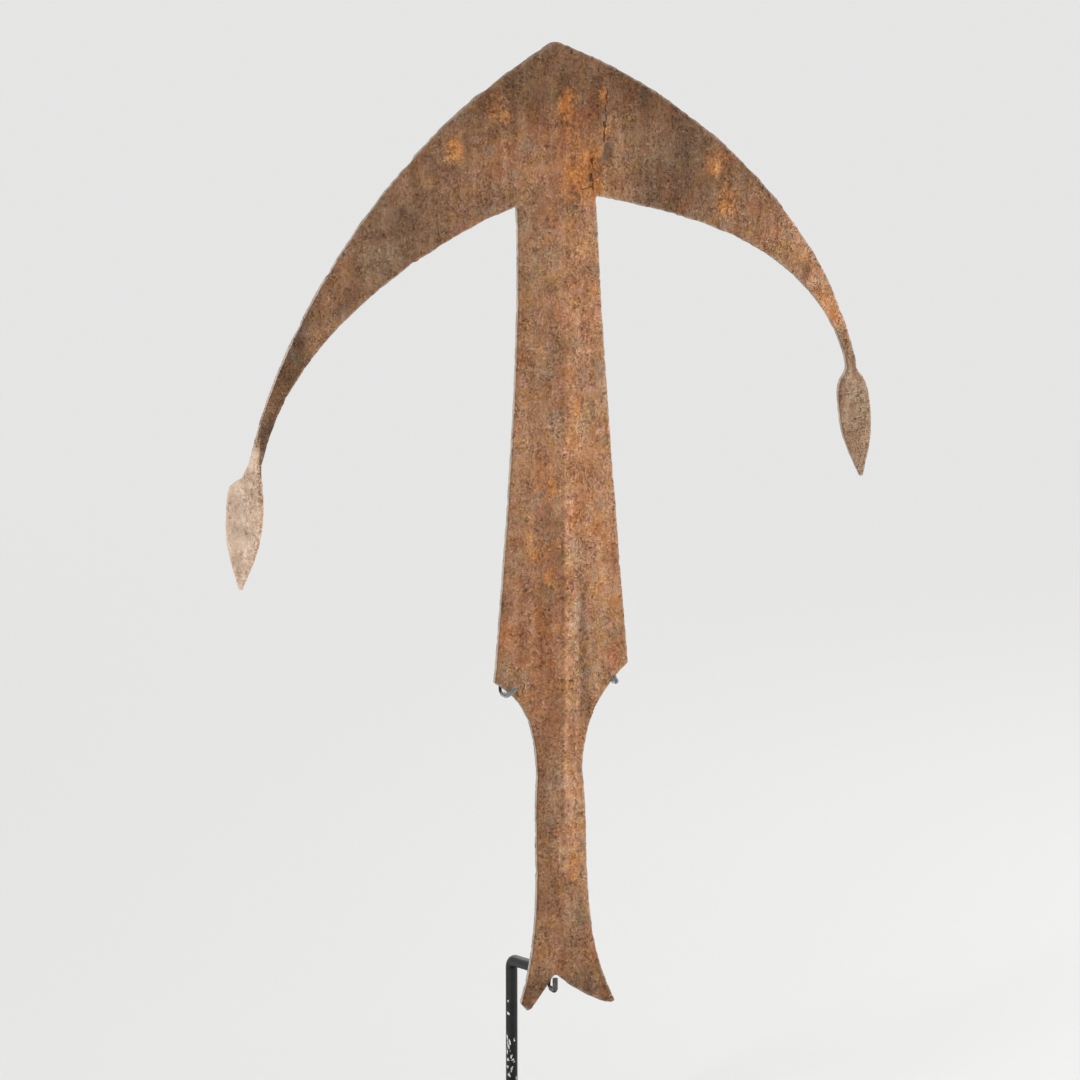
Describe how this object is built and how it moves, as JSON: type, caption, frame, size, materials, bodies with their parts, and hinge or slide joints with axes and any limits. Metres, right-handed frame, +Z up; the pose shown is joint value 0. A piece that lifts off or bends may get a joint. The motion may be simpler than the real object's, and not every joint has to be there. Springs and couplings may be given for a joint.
{
  "type": "currency blade on a stand",
  "caption": "Forged iron currency blade shaped like an anchor, with curved arms ending in small leaves and a forked foot, held upright on a bent black rod stand.",
  "frame": {"origin": "middle of the felt's underside, where the stand rests on a table", "axes": "+Z up, along the blade from its fork to its apex; -Y towards the viewer, square to the blade's face; +X to the viewer's right, along the arms"},
  "size_m": [0.3779, 0.12, 0.637],
  "materials": {
    "rusted_iron": "brown, fine-grained rust over hand-forged iron, with orange blooms and paler worn edges",
    "black_paint": "semi-gloss black paint on steel, chipped to pale primer low on the post",
    "clear_vinyl": "clear tubing with a grey-white haze",
    "plated_steel": "zinc plated",
    "felt": "black wool felt"
  },
  "bodies": {
    "stand": {"base_felt": "felt", "base_plate": "black_paint", "post_screw": "plated_steel", "post": "black_paint", "hook_bar": "black_paint", "fork_hook": "black_paint", "left_hook_sleeve": "clear_vinyl", "right_hook_sleeve": "clear_vinyl", "fork_hook_sleeve": "clear_vinyl"},
    "blade": {"blade": "rusted_iron"}
  },
  "joints": [
    {"name": "blade_lift", "type": "slide", "parent": "stand", "child": "blade", "axis": [0, 0, 1], "range_m": [0, 0.06]}
  ]
}
